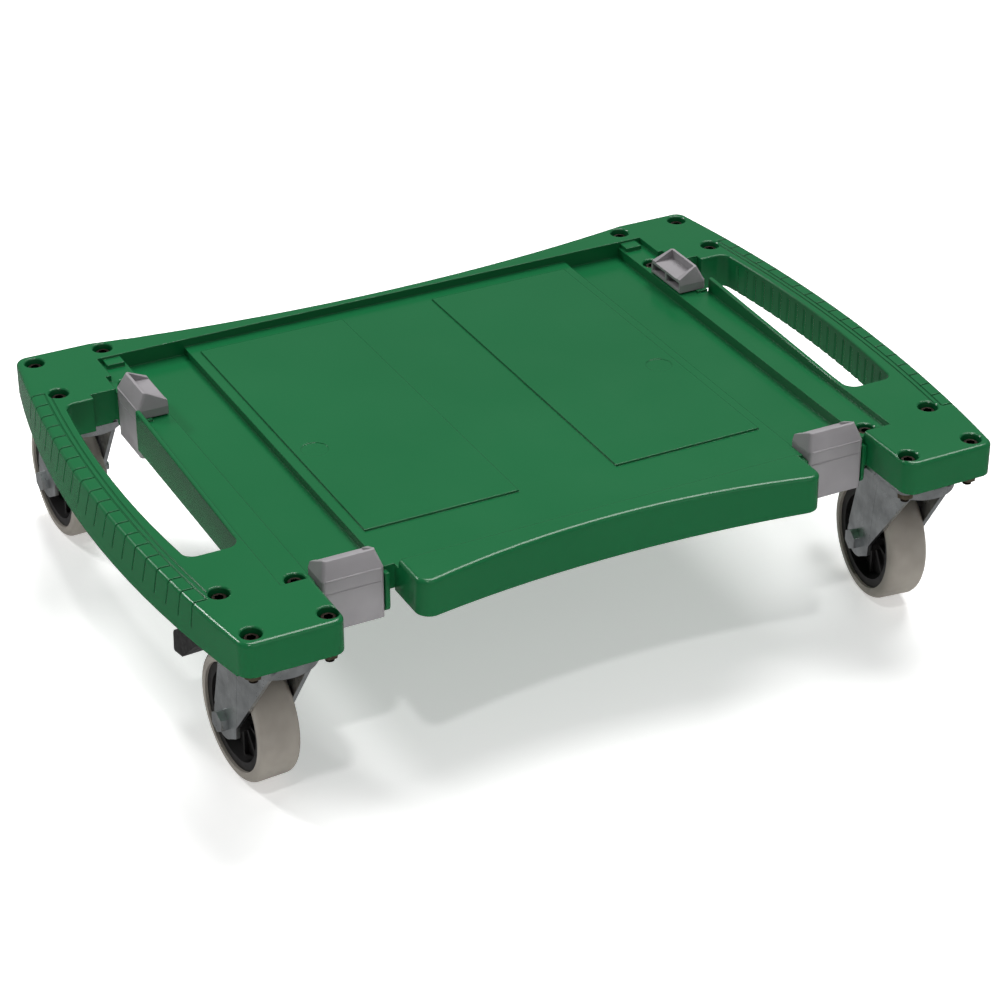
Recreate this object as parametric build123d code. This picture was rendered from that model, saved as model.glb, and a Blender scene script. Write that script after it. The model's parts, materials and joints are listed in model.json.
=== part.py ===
from build123d import *
import os
from math import cos, pi, sin

# Roll board for stackable tool cases: one moulded deck with two hand slots, four sprung
# latches that hold the lowest case, and four swivel castors, the front two with brakes.
# Millimetres. +X to the right, +Y to the rear, +Z up. The origin is on the load floor,
# at the middle of the deck.

# ---- deck, seen from above ----
deck_half_x = 270.0          # corner blocks
deck_half_y = 206.0
corner_radius = 9.0
handle_half_x = deck_half_x + 22.0       # lower edge of a handle at its middle
handle_top_half_x = deck_half_x + 16.0   # upper edge of a handle at its middle
rear_middle_y = 187.0        # the rear edge bows in to this
rear_bow_half_x = 214.0
lip_end_y = 193.0            # front lip: outer edge at its ends
lip_middle_y = 174.0         # and at its middle
lip_half_x = 145.5
notch_half_x = 201.0         # outer side of a front latch notch
floor_front_y = 159.0        # inner edge of the front lip
floor_rear_y = 179.0         # inner edge of the rear rim

# ---- deck levels ----
rim_level = 6.0              # corner blocks, lip and rear rim
panel_level = 1.2
channel_level = 1.6
trough_level = -5.8
ridge_level = 12.5
underside = -17.5
lip_drop = 6.5               # the lip's skirt hangs this far below the underside
handle_drop = 1.8
shell = 3.0                  # moulded wall
rib = 2.4
edge_fillet = 3.0

# ---- deck, lengthwise features ----
panel_inner_x = 36.0
panel_outer_x = 153.0
panel_front_y = -109.5
panel_rear_y = 166.0
trough_outer_x = 199.0
ridge_inner_x = 221.7
ridge_outer_x = 225.0
ridge_rear_y = 84.0
ridge_chamfer = 0.7
slot_front_y = -97.0
slot_rear_y = 125.0
slot_outer_x = deck_half_x - 2.5
slot_bow = 7.0               # the handle's inner face bows in by this towards the slot's ends
slot_corner_radius = 8.0
slot_top_chamfer = 0.8
grip_first_y = -147.0
grip_last_y = 147.0
grip_count = 20
grip_groove = 1.0
grip_groove_width = 1.0
grip_top_reach = 9.0         # the grooves run this far in from the handle's upper edge
grip_side_low = -10.5        # and down to this level
grip_lines = (9.0, 12.5)     # two lines along the handle's top, inwards from its edge
grip_line_depth = 0.6
flute_count = 19             # upright flutes on the handle's inner face
flute_radius = 2.4
flute_depth = 0.6
flute_top = 2.0
ejector_mark_x = 131.5
ejector_mark_radius = 9.2
ejector_mark_depth = 0.25

# ---- castor bolts, M6 ----
castor_x = 233.5
castor_y = 168.5
bolt_pitch = 50.0
bolt_radius = 3.0
bolt_clearance = 0.3
bolt_head_radius = 5.0
bolt_head_height = 6.0
bolt_socket_radius = 2.7
bolt_socket_depth = 3.5
counterbore_radius = 6.8
counterbore_depth = 9.0
counterbore_chamfer = 0.9
inner_head_drop = 3.0        # heads nearest the middle sit in the lower channel
nut_flat_radius = 5.0
nut_height = 5.0
bolt_tail = 3.0

# ---- castor ----
wheel_radius = 44.0
wheel_width = 28.0
tyre_depth = 7.5
tyre_edge = 4.5
wheel_centre_z = -96.5
trail = 40.0
axle_radius = 4.0
axle_head_radius = 6.5
axle_head_height = 5.0
axle_nut_height = 6.5
hub_sleeve_wall = 1.6
hub_boss_radius = 11.0
rim_wall = 6.0
web_wall = 6.0
spoke_wall = 2.2
spoke_count = 10
spoke_inset = 8.0            # the spokes stay this far inside the tyre's sides
running_gap = 0.05
side_gap = 0.4
plate_half = 32.5
plate_wall = 2.5
plate_cup_radius = 23.0
ball_radius = 2.5
ball_circle = 18.0
ball_count = 14
ball_gap = 0.1
crown_radius = 27.0
crown_skirt = 5.5            # turned-down edge of the crown
crown_wall = 3.0
kingpin_radius = 5.0
kingpin_head_radius = 9.0
kingpin_head_height = 2.6
fork_wall = 3.0
fork_gap = 2.0               # tyre side to fork leg
fork_top_front = -25.0
fork_crease_y = 15.0         # the leg is creased here and its front part bends inwards
fork_crease_foot_y = 23.0
fork_bend = 4.5
fork_top_rear = 24.0
fork_tip_radius = 13.0
castor_angles = {"front_left": 4.0, "front_right": -7.0, "rear_left": 2.0, "rear_right": -1.0}

# ---- brake of the front castors ----
pedal_width = 27.0
pedal_pin_y = 56.0
pedal_pin_z = -44.0
pedal_pin_radius = 2.5
pedal_hub_radius = 6.0
shoe_y = 66.0
shoe_length = 7.0
shoe_width = 16.0
shoe_gap = 3.6

# ---- latches ----
latch_width = 42.0
latch_side_gap = 1.2
latch_face_y = 158.5         # outer face of a front latch
latch_face_x = 221.7         # outer face of a side latch
front_latch_x = 175.8
side_latch_y = 109.0
latch_wall = 5.5
latch_bottom = -27.5
latch_shoulder = 8.5         # above this the face leans back and the ends lean in
latch_crest = 19.6
latch_crest_depth = 5.5
latch_crest_wall = 2.0
latch_end_lean = 3.5
latch_edge_radius = 2.5
latch_hook_depth = 21.7
latch_hook_top = 12.5
latch_hook_bottom = 2.6
latch_skin = 2.0
latch_tray_drop = 6.5        # depth of the tray behind the crest
latch_line_pitch = 9.5
front_latch_drop = 5.4       # the front latches sit this much lower
latch_pin_radius = 2.0
latch_pin_depth = 5.6
latch_pin_z = -20.5
latch_ear = 3.0
latch_ear_radius = 5.2
latch_boss_radius = 4.0
latch_ear_top = 3.0
latch_back_gap = 0.3
latch_swing_room = 15.0      # a side latch swings out this far beside the hand slot
spring_wire = 1.1
spring_turns = 5
latch_spring_leg = 7.3

handle_end_y = deck_half_y - corner_radius
notch_depth_y = latch_face_y - latch_wall - latch_back_gap
tyre_inner = wheel_radius - tyre_depth
race_drop = 1.5              # the plate's race hangs this far below the plate
race_rise = 3.0              # and the crown's race rises this far above the crown
race_dish = 1.2
race_centre_z = underside - plate_wall - race_drop - 1.2
crown_top = race_centre_z - 1.2 - race_rise
kingpin_play = 0.15
corners = {"front_left": (-1, -1), "front_right": (1, -1), "rear_left": (-1, 1), "rear_right": (1, 1)}
braked = ("front_left", "front_right")


def block(x0, x1, y0, y1, z0, z1):
    """Axis-aligned box between two corners."""
    lo = (min(x0, x1), min(y0, y1), min(z0, z1))
    hi = (max(x0, x1), max(y0, y1), max(z0, z1))
    size = [b - a for a, b in zip(lo, hi)]
    return Pos(*lo) * Box(*size, align=(Align.MIN, Align.MIN, Align.MIN))


def rod(start, axis, radius, length):
    """Round bar from a point along an axis."""
    plane = Plane(origin=start, z_dir=axis)
    return extrude(plane * Circle(radius), amount=length)


def hexagon(start, axis, flat_radius, length):
    plane = Plane(origin=start, z_dir=axis)
    return extrude(plane * RegularPolygon(flat_radius, 6, major_radius=False), amount=length)


def ring(centre, axis, outer, inner, length):
    return rod(centre, axis, outer, length) - rod(centre, axis, inner, length)


def both_sides(shapes):
    """The shapes and their mirror images across the middle of the deck."""
    return shapes + [mirror(shape, about=Plane.YZ) for shape in shapes]


def bolt_places():
    half = bolt_pitch / 2
    places = []
    for sx, sy in corners.values():
        for dx in (-half, half):
            for dy in (-half, half):
                places.append((sx * castor_x + dx, sy * castor_y + dy, dx * sx < 0 and dy * sy < 0))
    return places


def seat_level(inner):
    """Level of the surface that a bolt's counterbore starts from."""
    return channel_level if inner else rim_level


def head_top(inner):
    drop = inner_head_drop if inner else 0.0
    return rim_level - counterbore_depth + bolt_head_height - drop


# ---------------------------------------------------------------- deck
def side_x(half_x, end_x, y):
    """X of the arc through (end_x, -handle_end_y), (half_x, 0) and (end_x, handle_end_y)."""
    sagitta = half_x - end_x
    radius = (handle_end_y ** 2 + sagitta ** 2) / (2 * sagitta)
    return half_x - radius + (radius ** 2 - y ** 2) ** 0.5


def deck_core():
    """Plate with four corner blocks, the notches of the front latches and a bowed rear edge."""
    x, y, r = deck_half_x, deck_half_y, corner_radius
    with BuildLine() as edge:
        Polyline((-notch_half_x, -notch_depth_y), (-notch_half_x, -y), (-x + r, -y))
        RadiusArc((-x + r, -y), (-x, -y + r), r)
        Line((-x, -y + r), (-x, y - r))
        RadiusArc((-x, y - r), (-x + r, y), r)
        Line((-x + r, y), (-rear_bow_half_x, y))
        ThreePointArc((-rear_bow_half_x, y), (0, rear_middle_y), (rear_bow_half_x, y))
        Line((rear_bow_half_x, y), (x - r, y))
        RadiusArc((x - r, y), (x, y - r), r)
        Line((x, y - r), (x, -y + r))
        RadiusArc((x, -y + r), (x - r, -y), r)
        Polyline((x - r, -y), (notch_half_x, -y), (notch_half_x, -notch_depth_y))
        Line((notch_half_x, -notch_depth_y), (-notch_half_x, -notch_depth_y))
    plan = Pos(0, 0, underside) * make_face(edge.line)
    body = extrude(plan, amount=rim_level - underside)
    front_corners = [e for e in body.edges().filter_by(Axis.Z)
                     if abs(e.center().Y + y) < 1 and abs(abs(e.center().X) - notch_half_x) < 1]
    body = fillet(front_corners, corner_radius)
    top = [e for e in body.edges().group_by(Axis.Z)[-1]]
    return fillet(top, edge_fillet)


def lip():
    """Front lip: its outer edge bows in, and its skirt hangs lowest at the middle."""
    x = lip_half_x
    with BuildLine() as edge:
        Polyline((x, -lip_end_y), (x, -notch_depth_y), (-x, -notch_depth_y), (-x, -lip_end_y))
        ThreePointArc((-x, -lip_end_y), (0, -lip_middle_y), (x, -lip_end_y))
    low = underside - lip_drop
    body = extrude(Pos(0, 0, low) * make_face(edge.line), amount=rim_level - low)
    ends = [e for e in body.edges().filter_by(Axis.Z) if e.center().Y < -lip_end_y + 1]
    body = fillet(ends, corner_radius)
    top = body.faces().sort_by(Axis.Z)[-1].edges()
    outer = [e for e in top if e.center().Y < -notch_depth_y - 1]
    body = fillet(outer, edge_fillet)
    with BuildLine() as bottom:
        ThreePointArc((-x, underside - handle_drop), (0, low), (x, underside - handle_drop))
        Polyline((x, underside - handle_drop), (x, rim_level), (-x, rim_level),
                 (-x, underside - handle_drop))
    plane = Plane(origin=(0, -notch_depth_y, 0), x_dir=(1, 0, 0), z_dir=(0, -1, 0))
    return body & extrude(plane * make_face(bottom.line), amount=lip_end_y)


def handle_bar(inset=0.0):
    """Right handle: the band between the corner blocks, wider at its foot."""
    faces = []
    inner = ridge_outer_x
    for z, half_x in ((underside - handle_drop, handle_half_x), (rim_level - inset, handle_top_half_x)):
        with BuildLine() as edge:
            Polyline((deck_half_x - inset, handle_end_y), (inner, handle_end_y),
                     (inner, -handle_end_y), (deck_half_x - inset, -handle_end_y))
            ThreePointArc((deck_half_x - inset, -handle_end_y), (half_x - inset, 0),
                          (deck_half_x - inset, handle_end_y))
        faces.append(Pos(0, 0, z) * make_face(edge.line))
    bar = loft(faces, ruled=True)
    if inset == 0.0:
        rim = [e for e in bar.faces().sort_by(Axis.Z)[-1].edges() if e.geom_type == GeomType.CIRCLE]
        bar = fillet(rim, edge_fillet)
    return bar


def slot_outline(grow, level):
    """Outline of the right hand slot: its outer side is bowed, its latch corner is square."""
    end_x = slot_outer_x - slot_bow + grow
    y0, y1, x0 = slot_front_y - grow, slot_rear_y + grow, ridge_outer_x
    with BuildLine() as edge:
        Polyline((end_x, y1), (x0, y1), (x0, y0), (end_x, y0))
        ThreePointArc((end_x, y0), (slot_outer_x + grow, (y0 + y1) / 2), (end_x, y1))
    face = make_face(edge.line)
    rounded = [v for v in face.vertices() if v.X > x0 + 1 or v.Y < 0]
    return Pos(0, 0, level) * fillet(rounded, slot_corner_radius + grow)


def slot_tools():
    """Space of the right hand slot, with its bevelled upper edge."""
    through = extrude(slot_outline(0.0, -60), amount=120)
    foot = slot_outline(0.0, rim_level - slot_top_chamfer)
    head = slot_outline(2 * slot_top_chamfer, rim_level + slot_top_chamfer)
    bevel = loft([foot, head], ruled=True)
    beyond = block(ridge_outer_x, handle_half_x, slot_front_y - 10, slot_rear_y + 10, -60, 60)
    return [through, bevel & beyond]


def flutes():
    """Upright flutes on the inner face of the right handle."""
    pitch = (slot_rear_y - slot_front_y - 4 * slot_corner_radius) / (flute_count - 1)
    middle = (slot_front_y + slot_rear_y) / 2
    half = (slot_rear_y - slot_front_y) / 2
    tools = []
    for i in range(flute_count):
        y = slot_front_y + 2 * slot_corner_radius + i * pitch
        x = slot_outer_x - slot_bow * ((y - middle) / half) ** 2
        tools.append(rod((x + flute_depth - flute_radius, y, -60), (0, 0, 1), flute_radius, 60 + flute_top))
    return tools


def floor_tools():
    """What is taken out of the top of the deck: floor strips, panels' surround and channels."""
    up = rim_level + 1
    side = ridge_inner_x - 4.0
    front = notch_depth_y
    tools = [block(-lip_half_x, lip_half_x, -floor_front_y, floor_rear_y, panel_level, up)]
    for s in (-1, 1):
        tools.append(block(s * lip_half_x, s * side, -front, floor_rear_y, channel_level, up))
        tools.append(block(s * side, s * ridge_inner_x, -front, side_latch_y + latch_width,
                           channel_level, up))
        tools.append(block(s * panel_outer_x, s * trough_outer_x, -front, floor_rear_y, trough_level, up))
        tools.append(block(s * lip_half_x, s * panel_outer_x, -front, floor_rear_y, 0, up))
        tools.append(rod((s * ejector_mark_x, 0, panel_level - ejector_mark_depth), (0, 0, 1),
                         ejector_mark_radius, up))
    tools.append(block(-panel_inner_x, panel_inner_x, -floor_front_y, floor_rear_y, 0, up))
    tools.append(block(-panel_outer_x, panel_outer_x, -floor_front_y, panel_front_y, 0, up))
    tools.append(block(-panel_outer_x, panel_outer_x, panel_rear_y, floor_rear_y, 0, up))
    return tools


def ridge():
    """Upright wall between the right channel and hand slot, highest at its rear end."""
    outline = [(slot_front_y, underside), (slot_front_y, rim_level), (ridge_rear_y, ridge_level),
               (ridge_rear_y, underside)]
    plane = Plane(origin=(ridge_inner_x, 0, 0), x_dir=(0, 1, 0), z_dir=(1, 0, 0))
    wall = extrude(plane * make_face(Polyline(*outline, close=True)), amount=ridge_outer_x - ridge_inner_x)
    crest = [e for e in wall.edges() if e.length > 100 and e.center().Z > 0]
    return chamfer(crest, ridge_chamfer)


def under_pockets():
    """Hollows below the deck, with ribs between them."""
    tools = []
    low = underside - lip_drop - 1
    columns = [(panel_outer_x + rib, trough_outer_x - rib, trough_level - shell)]
    bays = 3
    step = panel_outer_x / bays
    for i in range(bays):
        columns.append((i * step + rib / 2, (i + 1) * step - rib / 2, -shell))
    rows = 6
    y0, y1 = -notch_depth_y + 4 * shell, rear_middle_y - shell
    pitch = (y1 - y0) / rows
    for x0, x1, top in columns:
        for row in range(rows):
            for s in (-1, 1):
                front = y0 + row * pitch + rib / 2
                tools.append(block(s * x0, s * x1, front, front + pitch - rib, low, top))
    half = lip_half_x - shell
    lip_bays = 6
    pitch = 2 * half / lip_bays
    for i in range(lip_bays):
        x0 = -half + i * pitch + rib / 2
        tools.append(block(x0, x0 + pitch - rib, -lip_middle_y + shell, -floor_front_y,
                           low, rim_level - shell))
    return tools


def handle_pockets():
    """Hollows below the right handle, one bay between each pair of ribs."""
    tools = []
    bays = 7
    y0, y1 = slot_front_y + 8, slot_rear_y - 8
    pitch = (y1 - y0) / bays
    for i in range(bays):
        a, b = y0 + i * pitch + rib / 2, y0 + (i + 1) * pitch - rib / 2
        outer = min(side_x(handle_top_half_x, deck_half_x, a), side_x(handle_top_half_x, deck_half_x, b))
        tools.append(block(slot_outer_x + shell, outer - shell, a, b, underside - 10, rim_level - 2 * shell))
    return tools


def grip_grooves():
    """Fine grooves across the outer edge of the right handle, and two lines along its top."""
    inner = handle_bar(grip_groove)
    pitch = (grip_last_y - grip_first_y) / (grip_count - 1)
    half = grip_groove_width / 2
    tools = []
    for i in range(grip_count):
        y = grip_first_y + i * pitch
        x = side_x(handle_top_half_x, deck_half_x, y) - grip_top_reach
        tools.append(block(x, handle_half_x + 5, y - half, y + half, grip_side_low, rim_level + 1) - inner)
    for inset in grip_lines:
        tools.append(grip_line(inset))
    return tools


def grip_line(inset):
    """Line that follows the handle's curve on its top face."""
    y = grip_last_y
    end_x = side_x(handle_top_half_x, deck_half_x, y) - inset
    mid = handle_top_half_x - inset
    width = grip_groove_width
    with BuildLine() as edge:
        ThreePointArc((end_x, -y), (mid, 0), (end_x, y))
        Line((end_x, y), (end_x - width, y))
        ThreePointArc((end_x - width, y), (mid - width, 0), (end_x - width, -y))
        Line((end_x - width, -y), (end_x, -y))
    return extrude(Pos(0, 0, rim_level - grip_line_depth) * make_face(edge.line), amount=2.0)


def latch_frame(name):
    """Place of a latch: its outer face, seen with depth along -Y and the pin along X."""
    sx, sy = corners[name]
    if sy < 0:
        return Pos(sx * front_latch_x, -latch_face_y, -front_latch_drop)
    return Pos(sx * latch_face_x, side_latch_y, 0) * Rot(0, 0, 90 * sx)


def latch_ears():
    """Two hanging ears that carry a latch pin, in the latch's own frame."""
    tools = Part()
    inner = latch_width / 2 + latch_side_gap / 2
    for s in (-1, 1):
        ear = block(s * inner, s * (inner + latch_ear), latch_pin_depth - latch_ear_radius,
                    latch_wall + latch_back_gap + shell, latch_pin_z, latch_ear_top)
        tip = rod((s * inner, latch_pin_depth, latch_pin_z), (s, 0, 0), latch_ear_radius, latch_ear)
        tools += ear + tip
    hole = rod((-latch_width, latch_pin_depth, latch_pin_z), (1, 0, 0), latch_pin_radius, 2 * latch_width)
    return tools - hole


def side_latch_notch():
    """Cuts beside the right hand slot that the rear latch stands in and swings out into."""
    rear = side_latch_y + latch_width / 2 + latch_side_gap
    depth = latch_wall + latch_back_gap
    notch = block(latch_face_x - depth, ridge_outer_x + 1, ridge_rear_y, rear, -60, 60)
    room = block(ridge_outer_x, ridge_outer_x + latch_swing_room, slot_rear_y - 1, rear, -60, 60)
    return [notch, room]


def bolt_holes():
    """Through holes with counterbores, and a small chamfer where each one opens."""
    tools = []
    for x, y, inner in bolt_places():
        tools.append(rod((x, y, -60), (0, 0, 1), bolt_radius + bolt_clearance, 120))
        seat = head_top(inner) - bolt_head_height
        tools.append(rod((x, y, seat), (0, 0, 1), counterbore_radius, 60))
        rise = 2 * counterbore_chamfer
        upright = (Align.CENTER, Align.CENTER, Align.MIN)
        cone = Cone(counterbore_radius, counterbore_radius + rise, rise, align=upright)
        tools.append(Pos(x, y, seat_level(inner) - counterbore_chamfer) * cone)
    return tools


def plate_seats():
    """Flat seats for the castor plates, cut into the skirt where it hangs lower."""
    reach = plate_half + 1.5
    tools = []
    for sx, sy in corners.values():
        x, y = sx * castor_x, sy * castor_y
        tools.append(block(x - reach, x + reach, y - reach, y + reach, -60, underside))
    return tools


def latch_reliefs():
    """Round hollows in the deck behind the pin bosses of the latches."""
    half = latch_width / 2 + latch_side_gap / 2
    tools = []
    for name in corners:
        bar = rod((-half, latch_pin_depth, latch_pin_z), (1, 0, 0), latch_boss_radius + 0.5, 2 * half)
        tools.append(latch_frame(name) * bar)
    return tools


def rear_tab():
    """Small step at the foot of the rear rim, behind the right channel."""
    inner, outer = notch_half_x, ridge_inner_x - 8
    return block(inner, outer, floor_rear_y - 10, floor_rear_y, underside, rim_level - 1.5)


def deck():
    body = deck_core() + lip()
    bar = handle_bar()
    body = body + bar + mirror(bar, about=Plane.YZ)
    body -= floor_tools()
    body += both_sides([ridge(), rear_tab()])
    openings = slot_tools() + side_latch_notch() + flutes() + handle_pockets() + grip_grooves()
    body -= both_sides(openings) + under_pockets()
    body += [latch_frame(name) * latch_ears() for name in corners]
    return body - (bolt_holes() + plate_seats() + latch_reliefs())


# ---------------------------------------------------------------- castor bolts
def deck_bolts():
    """Sixteen socket-head screws, from the counterbores through the castor plates."""
    group = []
    for x, y, inner in bolt_places():
        top = head_top(inner)
        low = underside - plate_wall - nut_height - bolt_tail
        shank = rod((x, y, low), (0, 0, 1), bolt_radius, top - bolt_head_height - low)
        head = rod((x, y, top - bolt_head_height), (0, 0, 1), bolt_head_radius, bolt_head_height)
        head = chamfer(head.edges().group_by(Axis.Z)[-1], 0.6)
        foot = (x, y, top - bolt_socket_depth)
        socket = hexagon(foot, (0, 0, 1), bolt_socket_radius, bolt_socket_depth + 1)
        group.append(shank + head - socket)
    return Compound(children=[g.solid() for g in group])


def deck_nuts():
    group = []
    for x, y, inner in bolt_places():
        top = underside - plate_wall
        nut = hexagon((x, y, top - nut_height), (0, 0, 1), nut_flat_radius, nut_height)
        nut = nut & rod((x, y, top - nut_height), (0, 0, 1), nut_flat_radius * 1.12, nut_height)
        group.append(nut - rod((x, y, top - nut_height - 1), (0, 0, 1), bolt_radius, nut_height + 2))
    return Compound(children=[g.solid() for g in group])


# ---------------------------------------------------------------- castor, trailing along +Y
def castor_plate():
    """Square top plate with a shallow pressed race for the balls."""
    top = underside
    plate = block(-plate_half, plate_half, -plate_half, plate_half, top - plate_wall, top)
    plate = fillet(plate.edges().filter_by(Axis.Z), 6.0)
    cup = rod((0, 0, top - plate_wall - race_drop), (0, 0, 1), plate_cup_radius, race_drop)
    plate += chamfer(cup.edges().group_by(Axis.Z)[0], 1.0)
    race = revolve(Plane.XZ * Pos(ball_circle, race_centre_z) * Circle(ball_radius + ball_gap), Axis.Z)
    plate -= race
    half = bolt_pitch / 2
    for dx in (-half, half):
        for dy in (-half, half):
            plate -= rod((dx, dy, -60), (0, 0, 1), bolt_radius + bolt_clearance, 60)
    return plate - rod((0, 0, -60), (0, 0, 1), kingpin_radius, 60)


def kingpin():
    """Rivet through the plate that the fork turns on; its head holds the fork up."""
    low = crown_top - crown_wall - kingpin_play
    pin = rod((0, 0, low), (0, 0, 1), kingpin_radius, underside - low)
    head = rod((0, 0, low - kingpin_head_height), (0, 0, 1), kingpin_head_radius, kingpin_head_height)
    return pin + chamfer(head.edges().group_by(Axis.Z)[0], 1.2)


def swivel_balls():
    group = []
    for i in range(ball_count):
        angle = 2 * pi * i / ball_count
        place = Pos(ball_circle * cos(angle), ball_circle * sin(angle), race_centre_z)
        group.append(place * Sphere(ball_radius))
    return Compound(children=[g.solid() for g in group])


def fork_leg():
    """Right leg of the fork: creased, narrowing to the axle, its front part bent inwards."""
    x = wheel_width / 2 + fork_gap
    top = crown_top
    tip = fork_tip_radius
    outline = [(fork_crease_y, top), (fork_top_rear, top), (fork_top_rear + 16, top - 14),
               (trail + tip - 1, wheel_centre_z + 8), (trail + tip - 4, wheel_centre_z - 6),
               (trail - 4, wheel_centre_z - tip + 0.5), (fork_crease_foot_y, wheel_centre_z - 5)]
    plane = Plane(origin=(x, 0, 0), x_dir=(0, 1, 0), z_dir=(1, 0, 0))
    leg = extrude(plane * make_face(Polyline(*outline, close=True)), amount=fork_wall)
    leg += rod((x, trail, wheel_centre_z), (1, 0, 0), tip, fork_wall)
    middle = x + fork_wall / 2
    bite = 1.0               # the bent part reaches this far into the flat part
    high = top + 0.4
    bent = Polyline((middle, fork_crease_y + bite, high), (middle - fork_bend, fork_top_front, high),
                    (middle, fork_crease_foot_y + bite, wheel_centre_z + bite), close=True)
    return leg + extrude(make_face(bent), amount=fork_wall / 2 - 0.02, both=True)


def fork():
    """Pressed fork: round crown with a lower race, and two legs for the axle."""
    crown = rod((0, 0, crown_top - crown_wall), (0, 0, 1), crown_radius, crown_wall)
    dome = rod((0, 0, crown_top), (0, 0, 1), crown_radius, race_rise)
    dome = chamfer(dome.edges().group_by(Axis.Z)[-1], race_rise * 0.55)
    crown += dome
    skirt_inner = crown_radius - fork_wall
    crown += ring((0, 0, crown_top - crown_skirt), (0, 0, 1), crown_radius, skirt_inner, crown_skirt)
    x = wheel_width / 2 + fork_gap + fork_wall
    crown += block(-x, x, -fork_top_rear + 6, fork_top_rear, crown_top - crown_wall, crown_top)
    leg = fork_leg()
    body = crown + leg + mirror(leg, about=Plane.YZ)
    body -= rod((0, 0, crown_top - crown_wall - 1), (0, 0, 1), kingpin_radius + running_gap, 60)
    body -= revolve(Plane.XZ * Pos(ball_circle, race_centre_z) * Circle(ball_radius + ball_gap), Axis.Z)
    body -= rod((0, 0, crown_top + race_rise - race_dish), (0, 0, 1), ball_circle + 1.0, 10)
    body -= rod((-60, trail, wheel_centre_z), (1, 0, 0), axle_radius, 120)
    return body


def axle_bolt():
    half = wheel_width / 2 + fork_gap + fork_wall
    tail = axle_nut_height + 3.0
    bolt = rod((-half, trail, wheel_centre_z), (1, 0, 0), axle_radius, 2 * half + tail)
    start = (-half - axle_head_height, trail, wheel_centre_z)
    head = hexagon(start, (1, 0, 0), axle_head_radius, axle_head_height)
    return bolt + head


def axle_nut():
    half = wheel_width / 2 + fork_gap + fork_wall
    nut = hexagon((half, trail, wheel_centre_z), (1, 0, 0), axle_head_radius, axle_nut_height)
    return nut - rod((half - 1, trail, wheel_centre_z), (1, 0, 0), axle_radius, axle_nut_height + 2)


def hub_sleeve():
    """Steel tube clamped between the fork legs; the wheel turns on it."""
    half = wheel_width / 2 + fork_gap
    outer = axle_radius + hub_sleeve_wall
    return ring((-half, trail, wheel_centre_z), (1, 0, 0), outer, axle_radius, 2 * half)


def wheel_hub():
    """Plastic wheel centre: rim, web with spokes' ribs and a long boss."""
    half = wheel_width / 2
    bore = axle_radius + hub_sleeve_wall + running_gap
    profile = [(bore, -half - fork_gap + side_gap), (hub_boss_radius, -half - fork_gap + side_gap),
               (hub_boss_radius, -web_wall / 2), (tyre_inner - rim_wall, -web_wall / 2),
               (tyre_inner - rim_wall, -half + 2), (tyre_inner, -half + 2),
               (tyre_inner, half - 2), (tyre_inner - rim_wall, half - 2),
               (tyre_inner - rim_wall, web_wall / 2), (hub_boss_radius, web_wall / 2),
               (hub_boss_radius, half + fork_gap - side_gap), (bore, half + fork_gap - side_gap)]
    plane = Plane(origin=(0, trail, wheel_centre_z), x_dir=(0, 1, 0), z_dir=(0, 0, 1))
    face = plane * make_face(Polyline(*profile, close=True))
    hub = revolve(face, Axis((0, trail, wheel_centre_z), (1, 0, 0)))
    reach = half - spoke_inset
    spokes = []
    for i in range(spoke_count):
        spoke = block(-reach, reach, -spoke_wall / 2, spoke_wall / 2,
                      hub_boss_radius - 1, tyre_inner - rim_wall + 1)
        spokes.append(Pos(0, trail, wheel_centre_z) * Rot(360 * i / spoke_count, 0, 0) * spoke)
    return hub + spokes


def tyre():
    """Soft grey tyre with rounded shoulders and a fine parting ridge."""
    half = wheel_width / 2
    body = ring((-half, trail, wheel_centre_z), (1, 0, 0), wheel_radius, tyre_inner, wheel_width)
    outer = [e for e in body.edges().filter_by(GeomType.CIRCLE) if abs(e.radius - wheel_radius) < 0.01]
    return fillet(outer, tyre_edge)


# ---------------------------------------------------------------- brake
def pedal_solid():
    """Pedal seen from the side: an arm from the pin and a thick tread behind the wheel."""
    y, z = pedal_pin_y, pedal_pin_z
    half = pedal_width / 2
    outline = [(y - 5, z + 6), (y + 8, z + 6), (y + 33, z - 11), (y + 66, z - 33),
               (y + 67, z - 49), (y + 54, z - 47), (y + 36, z - 30), (y + 24, z - 14),
               (y + 8, z - 5), (y - 5, z - 5)]
    plane = Plane(origin=(-half, 0, 0), x_dir=(0, 1, 0), z_dir=(1, 0, 0))
    solid = extrude(plane * make_face(Polyline(*outline, close=True)), amount=pedal_width)
    return chamfer(solid.edges().filter_by(Axis.X).sort_by(Axis.Y)[-2:], 1.5)


def brake_pedal():
    """Black foot pedal over the rear of the wheel, on a pin through the fork."""
    bore = rod((-60, pedal_pin_y, pedal_pin_z), (1, 0, 0), pedal_pin_radius + running_gap, 120)
    return pedal_solid() - bore


def fork_ear():
    """Rearward arm of a braked fork's right leg, for the pedal pin."""
    x = wheel_width / 2 + fork_gap
    outline = [(fork_top_rear - 6, crown_top - 7), (pedal_pin_y, pedal_pin_z + pedal_hub_radius),
               (pedal_pin_y, pedal_pin_z - pedal_hub_radius), (fork_top_rear, pedal_pin_z - 16)]
    plane = Plane(origin=(x, 0, 0), x_dir=(0, 1, 0), z_dir=(1, 0, 0))
    ear = extrude(plane * make_face(Polyline(*outline, close=True)), amount=fork_wall)
    return ear + rod((x, pedal_pin_y, pedal_pin_z), (1, 0, 0), pedal_hub_radius, fork_wall)


def pedal_pin():
    half = wheel_width / 2 + fork_gap + fork_wall
    pin = rod((-half - 1, pedal_pin_y, pedal_pin_z), (1, 0, 0), pedal_pin_radius, 2 * half + 2)
    for s in (-1, 1):
        pin += rod((s * half, pedal_pin_y, pedal_pin_z), (s, 0, 0), pedal_pin_radius + 1.5, 1.2)
    return pin


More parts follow.
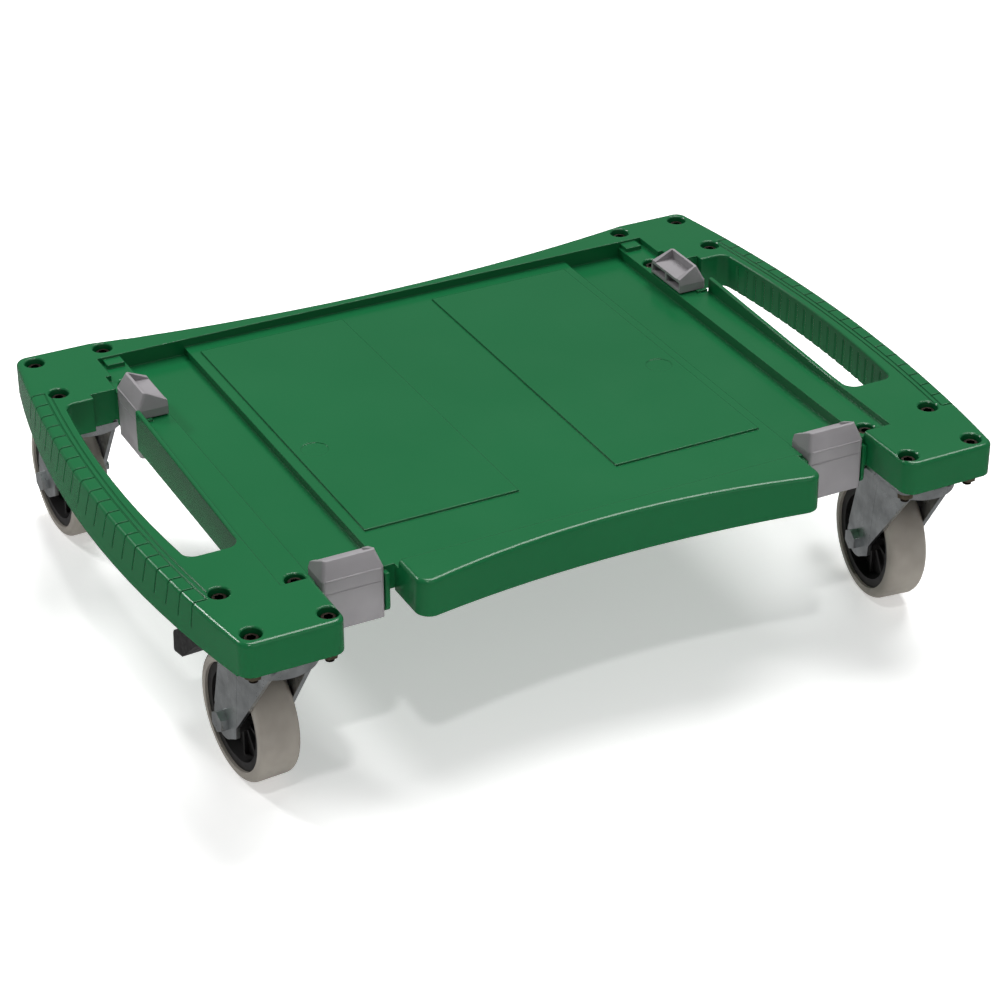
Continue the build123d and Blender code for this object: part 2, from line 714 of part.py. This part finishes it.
def brake_shoe():
    """Steel block under the pedal's arm that is pressed onto the tyre."""
    half = shoe_width / 2
    reach = shoe_y - trail
    low = wheel_centre_z + (wheel_radius ** 2 - reach ** 2) ** 0.5 + shoe_gap
    body = block(-half, half, shoe_y, shoe_y + shoe_length, low, pedal_pin_z - 3)
    return body - pedal_solid()


def braked_fork():
    ear = fork_ear()
    hole = rod((-60, pedal_pin_y, pedal_pin_z), (1, 0, 0), pedal_pin_radius, 120)
    return fork() + ear + mirror(ear, about=Plane.YZ) - hole


# ---------------------------------------------------------------- latches, outer face towards -Y
def latch_blank():
    """Latch before it is hollowed: upright plate and hook, with leaning ends."""
    half = latch_width / 2
    outline = [(0, latch_bottom), (0, latch_shoulder), (latch_crest_depth, latch_crest),
               (latch_crest_depth + latch_crest_wall, latch_crest), (latch_hook_depth, latch_hook_top),
               (latch_hook_depth, latch_hook_bottom), (latch_wall, latch_hook_bottom),
               (latch_wall, latch_bottom)]
    plane = Plane(origin=(-half, 0, 0), x_dir=(0, 1, 0), z_dir=(1, 0, 0))
    body = extrude(plane * make_face(Polyline(*outline, close=True)), amount=latch_width)
    front = Plane(origin=(0, -1, 0), x_dir=(1, 0, 0), z_dir=(0, -1, 0))
    for s in (-1, 1):
        wedge = [(s * half, latch_shoulder), (s * (half - latch_end_lean), latch_crest),
                 (s * (half - latch_end_lean), latch_crest + 1), (s * (half + 1), latch_crest + 1),
                 (s * (half + 1), latch_shoulder)]
        body -= extrude(front * make_face(Polyline(*wedge, close=True)), amount=-latch_hook_depth - 2)
    sharp = [e for e in body.edges() if e.length > 10 and e.center().Y < latch_crest_depth - 1
             and abs(e.center().X) > half - latch_end_lean]
    return fillet(sharp, latch_edge_radius)


def latch():
    """Latch: an upright plate with two raised lines, and a hook with a tray above its window."""
    half = latch_width / 2
    body = latch_blank()
    inside = half - latch_end_lean - latch_skin
    tray_y = latch_crest_depth + latch_crest_wall
    tray = [(tray_y, latch_crest + 1), (tray_y, latch_crest - latch_tray_drop),
            (latch_hook_depth + 1, latch_hook_top - 0.5), (latch_hook_depth + 1, latch_crest + 1)]
    plane = Plane(origin=(-inside, 0, 0), x_dir=(0, 1, 0), z_dir=(1, 0, 0))
    body -= extrude(plane * make_face(Polyline(*tray, close=True)), amount=2 * inside)
    for s in (-1, 1):
        body -= block(s * rib / 2, s * (half - latch_skin), latch_wall, latch_hook_depth + 1,
                      latch_hook_bottom + latch_skin, latch_hook_top - 0.5 - latch_skin)
    for z in (latch_shoulder, latch_shoulder - latch_line_pitch):
        line = rod((-half + latch_edge_radius, 0.1, z), (1, 0, 0), 0.5, latch_width - 2 * latch_edge_radius)
        body += line
    body -= block(-7, 7, latch_skin, 20, latch_bottom - 1, latch_pin_z + 8)
    boss = rod((-half, latch_pin_depth, latch_pin_z), (1, 0, 0), latch_boss_radius, latch_width)
    body += boss - block(-7, 7, -20, 20, -60, 60)
    return body - rod((-half - 1, latch_pin_depth, latch_pin_z), (1, 0, 0), latch_pin_radius + running_gap,
                      latch_width + 2)


def latch_pin():
    half = latch_width / 2 + latch_side_gap / 2 + latch_ear
    return rod((-half, latch_pin_depth, latch_pin_z), (1, 0, 0), latch_pin_radius, 2 * half)


def latch_spring():
    """Closely wound torsion spring round the pin, with one leg up the back of the latch."""
    half = spring_turns * spring_wire / 2
    inner = latch_pin_radius + 0.3
    thin = spring_wire / 2 - 0.05
    coil = ring((-half, latch_pin_depth, latch_pin_z), (1, 0, 0), inner + spring_wire, inner, 2 * half)
    length = latch_spring_leg
    front = rod((spring_wire - half, latch_pin_depth - inner - spring_wire / 2, latch_pin_z), (0, 0, 1),
                thin, length)
    wall = latch_wall + latch_back_gap - spring_wire / 2 - 0.05
    back = rod((half - spring_wire, wall, latch_pin_z + inner + 0.3), (0, 0, 1), thin, length - inner - 0.3)
    return coil + front + back


# ---------------------------------------------------------------- assembly
def save(name, shape):
    shape.label = name
    export_step(shape, "parts/" + name + ".step")


def castor_pieces(name):
    pieces = {
        "castor_plate": castor_plate(),
        "kingpin": kingpin(),
        "swivel_balls": swivel_balls(),
        "fork": braked_fork() if name in braked else fork(),
        "axle_bolt": axle_bolt(),
        "axle_nut": axle_nut(),
        "wheel_hub": wheel_hub(),
        "hub_sleeve": hub_sleeve(),
        "tyre": tyre(),
    }
    if name in braked:
        pieces["brake_pedal"] = brake_pedal()
        pieces["pedal_pin"] = pedal_pin()
        pieces["brake_shoe"] = brake_shoe()
    return pieces


def main():
    os.makedirs("parts", exist_ok=True)
    save("deck", deck())
    save("deck_bolts", deck_bolts())
    save("deck_nuts", deck_nuts())
    for name, (sx, sy) in corners.items():
        centre = Pos(sx * castor_x, sy * castor_y, 0)
        turned = centre * Rot(0, 0, castor_angles[name])
        for piece, shape in castor_pieces(name).items():
            place = centre if piece in ("castor_plate", "kingpin") else turned
            save(name + "_" + piece, place * shape)
        place = latch_frame(name)
        save(name + "_latch", place * latch())
        save(name + "_latch_pin", place * latch_pin())
        save(name + "_latch_spring", place * latch_spring())


main()
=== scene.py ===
import json
import math
import bpy
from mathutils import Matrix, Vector


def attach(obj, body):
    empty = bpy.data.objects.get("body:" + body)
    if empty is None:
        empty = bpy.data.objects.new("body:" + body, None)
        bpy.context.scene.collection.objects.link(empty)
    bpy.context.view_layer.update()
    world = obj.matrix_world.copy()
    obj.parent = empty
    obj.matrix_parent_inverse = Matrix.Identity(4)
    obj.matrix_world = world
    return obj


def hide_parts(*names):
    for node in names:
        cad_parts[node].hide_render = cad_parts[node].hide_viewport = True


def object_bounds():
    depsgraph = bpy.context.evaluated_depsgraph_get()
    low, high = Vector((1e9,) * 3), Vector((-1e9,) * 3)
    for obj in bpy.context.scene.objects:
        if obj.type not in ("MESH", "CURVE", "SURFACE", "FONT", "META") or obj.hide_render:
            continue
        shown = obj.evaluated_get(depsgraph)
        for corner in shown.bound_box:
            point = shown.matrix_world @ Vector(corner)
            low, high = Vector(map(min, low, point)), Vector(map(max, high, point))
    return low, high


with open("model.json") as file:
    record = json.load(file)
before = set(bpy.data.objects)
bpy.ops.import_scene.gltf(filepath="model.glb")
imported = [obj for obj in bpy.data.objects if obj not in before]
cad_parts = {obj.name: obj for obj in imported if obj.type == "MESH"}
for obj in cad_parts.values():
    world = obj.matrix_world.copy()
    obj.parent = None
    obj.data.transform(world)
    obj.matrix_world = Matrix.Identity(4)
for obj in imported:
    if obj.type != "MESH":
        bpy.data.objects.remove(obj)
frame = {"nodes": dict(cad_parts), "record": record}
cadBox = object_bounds()
nodes = frame["nodes"]
record = frame["record"]
print("loaded", len(nodes), "parts")


# colours and nodes
def toLinear(hexText):
    values = [int(hexText[i:i + 2], 16) / 255 for i in (1, 3, 5)]
    return [v / 12.92 if v <= 0.04045 else ((v + 0.055) / 1.055) ** 2.4 for v in values] + [1.0]


# one node with its settings, socket values, links and, for a colour ramp, its stops
def addNode(tree, kind, settings=None, values=None, links=None, stops=()):
    node = tree.nodes.new(kind)
    for key, value in (settings or {}).items():
        setattr(node, key, value)
    for key, value in (values or {}).items():
        node.inputs[key].default_value = value
    for key, source in (links or {}).items():
        tree.links.new(source, node.inputs[key])
    if stops:
        for element, (position, colour) in zip(node.color_ramp.elements, stops):
            element.position = position
            element.color = toLinear(colour) if isinstance(colour, str) else [colour] * 3 + [1.0]
    return node


def startMaterial(name):
    material = bpy.data.materials.new(name)
    material.use_nodes = True
    tree = material.node_tree
    tree.nodes.clear()
    shader = addNode(tree, "ShaderNodeBsdfPrincipled")
    addNode(tree, "ShaderNodeOutputMaterial", links={"Surface": shader.outputs["BSDF"]})
    place = addNode(tree, "ShaderNodeTexCoord").outputs["Object"]
    return material, tree, shader, place


# cell size in millimetres to the scale of a noise texture in metres
def perMetre(sizeMm):
    return 1000.0 / sizeMm


# noise keeps mostly between these, so a ramp from one to the other uses its whole range
noiseLow, noiseHigh = 0.3, 0.7
marksLow, marksHigh = 0.25, 0.75
softNoise, crispNoise = 0.55, 0.6

# the sharp edges of a moulding or a pressing are about a millimetre round or less, and catch the light
edgeSamples = 4


# moulded plastic: a grained skin with slow colour drift, one mould finish for the whole piece
def mouldedPlastic(name, look):
    material, tree, shader, place = startMaterial(name)
    drift = addNode(tree, "ShaderNodeTexNoise", links={"Vector": place},
                    values={"Scale": perMetre(look["driftMm"]), "Detail": 2.0, "Roughness": softNoise})
    colour = addNode(tree, "ShaderNodeValToRGB", links={"Fac": drift.outputs["Fac"]},
                     stops=((noiseLow, look["dark"]), (noiseHigh, look["light"])))
    tree.links.new(colour.outputs["Color"], shader.inputs["Base Color"])
    patches = addNode(tree, "ShaderNodeTexNoise", links={"Vector": place},
                      values={"Scale": perMetre(look["patchMm"]), "Detail": 4.0, "Roughness": softNoise})
    gloss = addNode(tree, "ShaderNodeValToRGB", links={"Fac": patches.outputs["Fac"]},
                    stops=((noiseLow, look["gloss"][0]), (noiseHigh, look["gloss"][1])))
    tree.links.new(gloss.outputs["Color"], shader.inputs["Roughness"])
    grain = addNode(tree, "ShaderNodeTexNoise", links={"Vector": place},
                    values={"Scale": perMetre(look["grainMm"]), "Detail": 2.0, "Roughness": crispNoise})
    edge = addNode(tree, "ShaderNodeBevel", {"samples": edgeSamples}, {"Radius": look["edgeMm"] / 1000})
    bump = addNode(tree, "ShaderNodeBump",
                   values={"Strength": look["bump"], "Distance": look["depthMm"] / 1000},
                   links={"Height": grain.outputs["Fac"], "Normal": edge.outputs["Normal"]})
    tree.links.new(bump.outputs["Normal"], shader.inputs["Normal"])
    shader.inputs["IOR"].default_value = look["ior"]
    shader.inputs["Specular IOR Level"].default_value = look["specular"]
    return material


# zinc-plated steel: crystal spangle and fine drawing marks from the press
def platedSteel(name, look):
    material, tree, shader, place = startMaterial(name)
    shader.inputs["Metallic"].default_value = 1.0
    stretch = addNode(tree, "ShaderNodeMapping", values={"Scale": look["stretch"]}, links={"Vector": place})
    marks = addNode(tree, "ShaderNodeTexNoise", links={"Vector": stretch.outputs["Vector"]},
                    values={"Scale": perMetre(look["markMm"]), "Detail": 4.0, "Roughness": crispNoise})
    cloud = addNode(tree, "ShaderNodeTexNoise", links={"Vector": place},
                    values={"Scale": perMetre(look["cloudMm"]), "Detail": 3.0, "Roughness": softNoise})
    colour = addNode(tree, "ShaderNodeValToRGB", links={"Fac": cloud.outputs["Fac"]},
                     stops=((noiseLow, look["dark"]), (noiseHigh, look["light"])))
    tree.links.new(colour.outputs["Color"], shader.inputs["Base Color"])
    gloss = addNode(tree, "ShaderNodeValToRGB", links={"Fac": marks.outputs["Fac"]},
                    stops=((marksLow, look["gloss"][0]), (marksHigh, look["gloss"][1])))
    tree.links.new(gloss.outputs["Color"], shader.inputs["Roughness"])
    edge = addNode(tree, "ShaderNodeBevel", {"samples": edgeSamples}, {"Radius": look["edgeMm"] / 1000})
    bump = addNode(tree, "ShaderNodeBump",
                   values={"Strength": look["bump"], "Distance": look["depthMm"] / 1000},
                   links={"Height": marks.outputs["Fac"], "Normal": edge.outputs["Normal"]})
    tree.links.new(bump.outputs["Normal"], shader.inputs["Normal"])
    return material


# deck: polypropylene, injection moulded against a spark-eroded tool, satin with a fine grain
deckLook = {"dark": "#0F5E34", "light": "#126237", "driftMm": 220.0, "patchMm": 60.0, "gloss": (0.18, 0.23),
            "grainMm": 0.7, "bump": 0.05, "depthMm": 0.03, "ior": 1.49, "specular": 0.34, "edgeMm": 1.2}
deckPolypropylene = mouldedPlastic("moulded_polypropylene_green", deckLook)

# latches: glass-filled polyamide, a little rougher and paler where the glass shows
latchLook = {"dark": "#8B888B", "light": "#979497", "driftMm": 30.0, "patchMm": 9.0, "gloss": (0.30, 0.40),
             "grainMm": 0.5, "bump": 0.12, "depthMm": 0.04, "ior": 1.53, "specular": 0.45, "edgeMm": 0.8}
latchPolyamide = mouldedPlastic("glass_filled_polyamide_grey", latchLook)

# wheel centres: black polypropylene, smoother than the deck
hubLook = {"dark": "#1E1D1D", "light": "#262525", "driftMm": 25.0, "patchMm": 10.0, "gloss": (0.40, 0.55),
           "grainMm": 0.6, "bump": 0.12, "depthMm": 0.03, "ior": 1.49, "specular": 0.5, "edgeMm": 0.6}
hubPolypropylene = mouldedPlastic("moulded_polypropylene_black", hubLook)

# pedals: black polyamide, scuffed by shoes, so its gloss changes in patches
pedalLook = {"dark": "#161515", "light": "#1F1E1E", "driftMm": 15.0, "patchMm": 5.0, "gloss": (0.35, 0.6),
             "grainMm": 0.6, "bump": 0.2, "depthMm": 0.04, "ior": 1.53, "specular": 0.5, "edgeMm": 0.8}
pedalPolyamide = mouldedPlastic("moulded_polyamide_black", pedalLook)

# tyres: non-marking thermoplastic rubber, warm grey, dull and slightly dusty
tyreLook = {"dark": "#8E8880", "light": "#9D978E", "driftMm": 22.0, "patchMm": 7.0, "gloss": (0.55, 0.7),
            "grainMm": 0.8, "bump": 0.15, "depthMm": 0.05, "ior": 1.5, "specular": 0.4, "edgeMm": 0.8}
tyreRubber = mouldedPlastic("thermoplastic_rubber_grey", tyreLook)

# forks and plates: pressed steel with bright zinc plate
forkLook = {"dark": "#B2B6B7", "light": "#DDE1E2", "cloudMm": 14.0, "markMm": 2.2,
            "stretch": (1.0, 1.0, 0.25), "gloss": (0.24, 0.40), "bump": 0.12, "depthMm": 0.05, "edgeMm": 0.5}
zincSteel = platedSteel("bright_zinc_plated_steel", forkLook)

# nuts of the deck: yellow passivated zinc
nutLook = {"dark": "#6A6152", "light": "#938974", "cloudMm": 4.0, "markMm": 0.8, "stretch": (1.0, 1.0, 0.4),
           "gloss": (0.28, 0.42), "bump": 0.1, "depthMm": 0.03, "edgeMm": 0.3}
yellowZinc = platedSteel("yellow_zinc_plated_steel", nutLook)

# socket screws: black oxide, oily and dark
screwLook = {"dark": "#231C18", "light": "#3A302A", "cloudMm": 3.0, "markMm": 0.7,
             "stretch": (1.0, 1.0, 1.0), "gloss": (0.25, 0.4), "bump": 0.08, "depthMm": 0.02, "edgeMm": 0.3}
blackOxide = platedSteel("black_oxide_steel", screwLook)

# balls, sleeves and springs: hardened steel with an oil film
bearingLook = {"dark": "#83868A", "light": "#A2A6AA", "cloudMm": 6.0, "markMm": 0.5,
               "stretch": (1.0, 1.0, 1.0), "gloss": (0.16, 0.24), "bump": 0.03, "depthMm": 0.01,
               "edgeMm": 0.2}
bearingSteel = platedSteel("hardened_bearing_steel", bearingLook)

slotMaterials = {"green_polypropylene": deckPolypropylene, "grey_polyamide": latchPolyamide,
                 "grey_rubber": tyreRubber, "black_polypropylene": hubPolypropylene,
                 "black_polyamide": pedalPolyamide, "bright_zinc": zincSteel, "yellow_zinc": yellowZinc,
                 "black_steel": blackOxide, "bearing_steel": bearingSteel}
for part in record["subparts"]:
    mesh = nodes[part["node"]].data
    mesh.materials.clear()
    mesh.materials.append(slotMaterials[part["material_slot"]])
print("materials on every part")

# wound springs
def deselectAll():
    bpy.ops.object.select_all(action="DESELECT")


def nodeCentre(name):
    points = [v.co for v in nodes[name].data.vertices]
    return Vector([(min(p[i] for p in points) + max(p[i] for p in points)) / 2 for i in range(3)])


# how every new piece is closed and shaded
finish = {"mergeMm": 0.01, "smoothAngle": 40.0}


def finishPiece(piece, name, material, body):
    piece.name = name
    deselectAll()
    piece.select_set(True)
    bpy.context.view_layer.objects.active = piece
    bpy.ops.object.transform_apply(location=True, rotation=True, scale=True)
    bpy.ops.object.mode_set(mode="EDIT")
    bpy.ops.mesh.select_all(action="SELECT")
    bpy.ops.mesh.remove_doubles(threshold=finish["mergeMm"] / 1000)
    bpy.ops.mesh.normals_make_consistent(inside=False)
    bpy.ops.object.mode_set(mode="OBJECT")
    bpy.ops.object.shade_smooth_by_angle(angle=math.radians(finish["smoothAngle"]))
    piece.data.materials.clear()
    piece.data.materials.append(material)
    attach(piece, body)


# torsion spring of a latch: drawn wire wound round the pin, with a leg up the back of the latch
spring = {"wireMm": 1.0, "coilMm": 2.85, "turns": 4.5, "pitchMm": 1.12, "stepsPerTurn": 32, "wireSides": 10,
          "legMm": 6.4, "tailMm": 1.0}


# one end of the wire: its open ring is drawn out straight and closed
def drawWireEnd(piece, level, lengthMm):
    bpy.ops.object.mode_set(mode="EDIT")
    bpy.ops.mesh.select_mode(type="VERT")
    bpy.ops.mesh.select_all(action="DESELECT")
    bpy.ops.mesh.select_non_manifold()
    bpy.ops.object.mode_set(mode="OBJECT")
    for vertex in piece.data.vertices:
        if vertex.select and abs(vertex.co.z - level) > spring["wireMm"] / 1000:
            vertex.select = False
    bpy.ops.object.mode_set(mode="EDIT")
    bpy.ops.mesh.select_mode(type="EDGE")
    bpy.ops.mesh.extrude_region_move(TRANSFORM_OT_translate={"value": (-lengthMm / 1000, 0, 0)})
    bpy.ops.mesh.edge_face_add()
    bpy.ops.object.mode_set(mode="OBJECT")


def woundSpring(corner, turn):
    deselectAll()
    radius, rise = spring["coilMm"] / 1000, spring["turns"] * spring["pitchMm"] / 1000
    bpy.ops.mesh.primitive_circle_add(vertices=spring["wireSides"], radius=spring["wireMm"] / 2000,
                                      fill_type="NOTHING", location=(0, -radius, -rise / 2),
                                      rotation=(0, math.pi / 2, 0))
    piece = bpy.context.object
    bpy.ops.object.transform_apply(location=True, rotation=True, scale=True)
    winding = piece.modifiers.new("winding", "SCREW")
    winding.axis = "Z"
    winding.angle = 2 * math.pi * spring["turns"]
    winding.screw_offset = rise
    winding.steps = winding.render_steps = int(spring["turns"] * spring["stepsPerTurn"])
    bpy.ops.object.modifier_apply(modifier="winding")
    drawWireEnd(piece, -rise / 2, spring["legMm"])
    drawWireEnd(piece, rise / 2, spring["tailMm"])
    piece.rotation_euler = (0, math.pi / 2, math.radians(turn))
    piece.location = nodeCentre(corner + "_latch_pin")
    finishPiece(piece, corner + "_wound_spring", bearingSteel, corner + "_latch")
    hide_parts(corner + "_latch_spring")


# the rear latches stand across the board, so their springs are turned with them
for corner, turn in (("front_left", 0), ("front_right", 0), ("rear_left", -90), ("rear_right", 90)):
    woundSpring(corner, turn)
print("wound springs on the latch pins")

# floor, light and camera
studio = {"floorDark": "#F7F7F6", "floorColour": "#FBFBFA", "floorSize": 30.0, "floorCloudMm": 900.0,
          "floorRoughness": 0.7, "floorSpecular": 0.1, "floorShadowLiftGlow": 0.4, "glowColour": "#FFFFFF",
          "backdropRadius": 16.0, "backdropDark": "#FBFBFB", "backdropColour": "#FFFFFF",
          "backdropCloudMm": 4000.0, "worldColour": "#FFFFFF", "worldStrength": 0.22, "aimAt": (0, 0, -0.05)}
lamps = {"key_light": {"kind": "SUN", "place": (0.9, 0.8, 2.3), "strength": 2.8, "size": 34.0},
         "fill_light": {"kind": "SUN", "place": (0.5, -2.2, 1.5), "strength": 0.2, "size": 34.0},
         "rim_light": {"kind": "AREA", "place": (-1.3, 1.7, 1.7), "strength": 22.0, "size": 0.45},
         "edge_light": {"kind": "AREA", "place": (-0.7, -1.2, 2.4), "strength": 12.0, "size": 0.18}}
viewFrom = {"position": (-0.7673, -1.5048, 0.9178), "target": (-0.0563, -0.1223, 0.0058),
            "lensMm": 101.57, "sensorMm": 36.0, "farClip": 50.0}


def studioFloor():
    deselectAll()
    bpy.ops.mesh.primitive_plane_add(size=studio["floorSize"], location=(0, 0, cadBox[0][2]))
    floor = bpy.context.object
    floor.name = "studio_floor"
    material, tree, shader, place = startMaterial("matt_painted_floor")
    cloud = addNode(tree, "ShaderNodeTexNoise", links={"Vector": place},
                    values={"Scale": perMetre(studio["floorCloudMm"]), "Detail": 2.0,
                            "Roughness": softNoise})
    colour = addNode(tree, "ShaderNodeValToRGB", links={"Fac": cloud.outputs["Fac"]},
                     stops=((noiseLow, studio["floorDark"]), (noiseHigh, studio["floorColour"])))
    tree.links.new(colour.outputs["Color"], shader.inputs["Base Color"])
    shader.inputs["Roughness"].default_value = studio["floorRoughness"]
    shader.inputs["Specular IOR Level"].default_value = studio["floorSpecular"]
    # painted light: the floor glows faintly, which lifts the cast shadow under the board and adds light from
    # below to its undersides
    shader.inputs["Emission Color"].default_value = toLinear(studio["glowColour"])
    shader.inputs["Emission Strength"].default_value = studio["floorShadowLiftGlow"]
    floor.data.materials.append(material)
    floor.visible_glossy = False  # dark surroundings in the reflections, so that the green stays deep


# a white shell round the scene, seen by the camera only, so that low views have a plain background too
def studioBackdrop():
    deselectAll()
    bpy.ops.mesh.primitive_uv_sphere_add(radius=studio["backdropRadius"], location=(0, 0, 0))
    backdrop = bpy.context.object
    backdrop.name = "studio_backdrop"
    material, tree, shader, place = startMaterial("lit_white_backdrop")
    cloud = addNode(tree, "ShaderNodeTexNoise", links={"Vector": place},
                    values={"Scale": perMetre(studio["backdropCloudMm"]), "Detail": 2.0,
                            "Roughness": softNoise})
    colour = addNode(tree, "ShaderNodeValToRGB", links={"Fac": cloud.outputs["Fac"]},
                     stops=((noiseLow, studio["backdropDark"]), (noiseHigh, studio["backdropColour"])))
    tree.links.new(colour.outputs["Color"], shader.inputs["Emission Color"])
    shader.inputs["Emission Strength"].default_value = 1.0
    shader.inputs["Base Color"].default_value = toLinear("#000000")
    backdrop.data.materials.append(material)
    backdrop.visible_diffuse = backdrop.visible_glossy = backdrop.visible_shadow = False
    backdrop.visible_transmission = False


def aimedLamp(name, look):
    data = bpy.data.lights.new(name, look["kind"])
    data.energy = look["strength"]
    if look["kind"] == "SUN":
        data.angle = math.radians(look["size"])
    else:
        data.shape = "DISK"
        data.size = look["size"]
    lamp = bpy.data.objects.new(name, data)
    bpy.context.collection.objects.link(lamp)
    lamp.location = look["place"]
    aim = Vector(studio["aimAt"]) - Vector(look["place"])
    lamp.rotation_euler = aim.to_track_quat("-Z", "Y").to_euler()


def studioLights():
    world = bpy.data.worlds.new("soft_white_room")
    world.use_nodes = True
    bpy.context.scene.world = world
    back = world.node_tree.nodes["Background"]
    back.inputs["Color"].default_value = toLinear(studio["worldColour"])
    back.inputs["Strength"].default_value = studio["worldStrength"]
    for name, look in lamps.items():
        aimedLamp(name, look)
    bpy.context.scene.view_settings.view_transform = "Standard"


def photoCamera():
    data = bpy.data.cameras.new("camera")
    data.lens = viewFrom["lensMm"]
    data.sensor_width = viewFrom["sensorMm"]
    data.clip_end = viewFrom["farClip"]
    camera = bpy.data.objects.new("camera", data)
    bpy.context.collection.objects.link(camera)
    camera.location = viewFrom["position"]
    aim = Vector(viewFrom["target"]) - Vector(viewFrom["position"])
    camera.rotation_euler = aim.to_track_quat("-Z", "Y").to_euler()
    bpy.context.scene.camera = camera


studioFloor()
studioBackdrop()
studioLights()
photoCamera()
print("floor, lights and camera ready")
